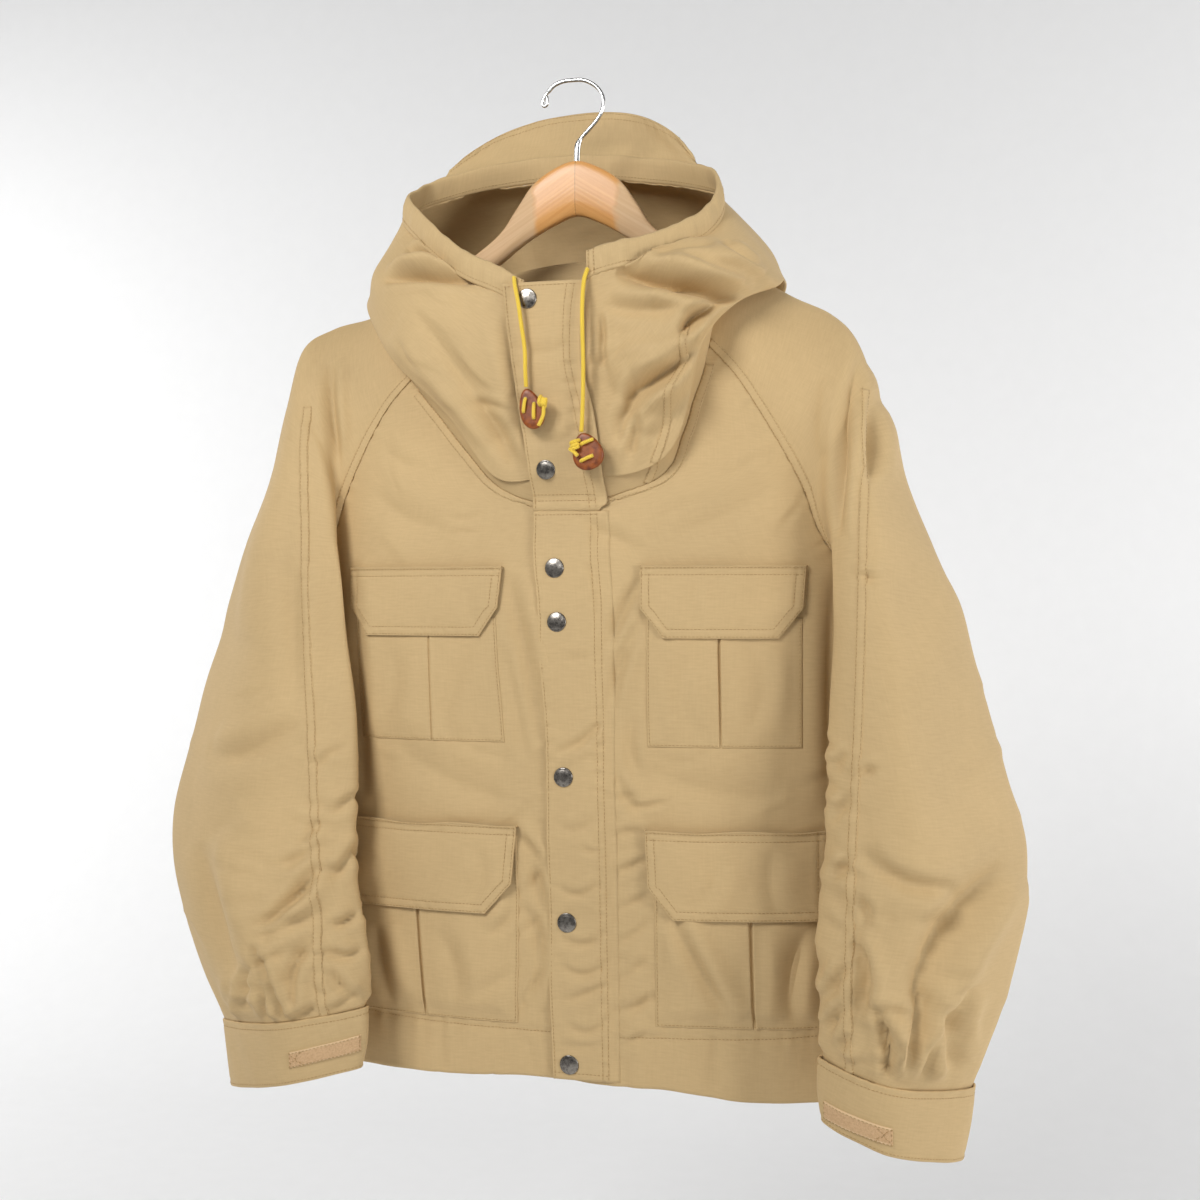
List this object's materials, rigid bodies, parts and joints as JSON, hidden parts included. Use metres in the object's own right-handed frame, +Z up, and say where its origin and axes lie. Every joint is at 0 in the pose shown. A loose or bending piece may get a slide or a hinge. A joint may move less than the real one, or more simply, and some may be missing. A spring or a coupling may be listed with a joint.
{
  "type": "mountain parka on a wooden hanger",
  "caption": "Hooded mountain parka with raglan sleeves, snapped storm flap and flapped patch pockets, hanging from its shoulders on a contoured wooden hanger.",
  "frame": {"origin": "top of the hook's bend on its underside, where the hook bears on the nail, rail or rod that holds it", "axes": "+Z up, the front of the parka faces -Y, the wearer's left is at +X"},
  "size_m": [0.69, 0.226, 0.8191],
  "materials": {
    "parka_cloth": "matte, fine crosswise weave with a soft sheen",
    "hook_loop_tape": "fuzzy woven tape",
    "drawcord_cord": "braided",
    "toggle_leather": "waxed",
    "snap_nickel": "dark polished nickel plating",
    "hanger_wood": "worn satin lacquer",
    "hook_steel": "polished"
  },
  "bodies": {
    "root": {"back": "parka_cloth", "brim": "parka_cloth", "chest_flap_left": "parka_cloth", "chest_flap_right": "parka_cloth", "chest_pocket_left": "parka_cloth", "chest_pocket_right": "parka_cloth", "cuff_left": "parka_cloth", "cuff_right": "parka_cloth", "cuff_tape_left": "hook_loop_tape", "cuff_tape_right": "hook_loop_tape", "drawcord_left": "drawcord_cord", "drawcord_right": "drawcord_cord", "front_left": "parka_cloth", "front_right": "parka_cloth", "hanger_hook": "hook_steel", "hanger_wood": "hanger_wood", "hood": "parka_cloth", "hood_band": "parka_cloth", "knot_left": "drawcord_cord", "knot_right": "drawcord_cord", "lower_flap_left": "parka_cloth", "lower_flap_right": "parka_cloth", "lower_pocket_left": "parka_cloth", "lower_pocket_right": "parka_cloth", "placket": "parka_cloth", "placket_top": "parka_cloth", "sleeve_left": "parka_cloth", "sleeve_right": "parka_cloth", "snap_1": "snap_nickel", "snap_2": "snap_nickel", "snap_3": "snap_nickel", "snap_4": "snap_nickel", "snap_5": "snap_nickel", "snap_6": "snap_nickel", "snap_7": "snap_nickel", "toggle_left": "toggle_leather", "toggle_right": "toggle_leather"}
  },
  "joints": []
}
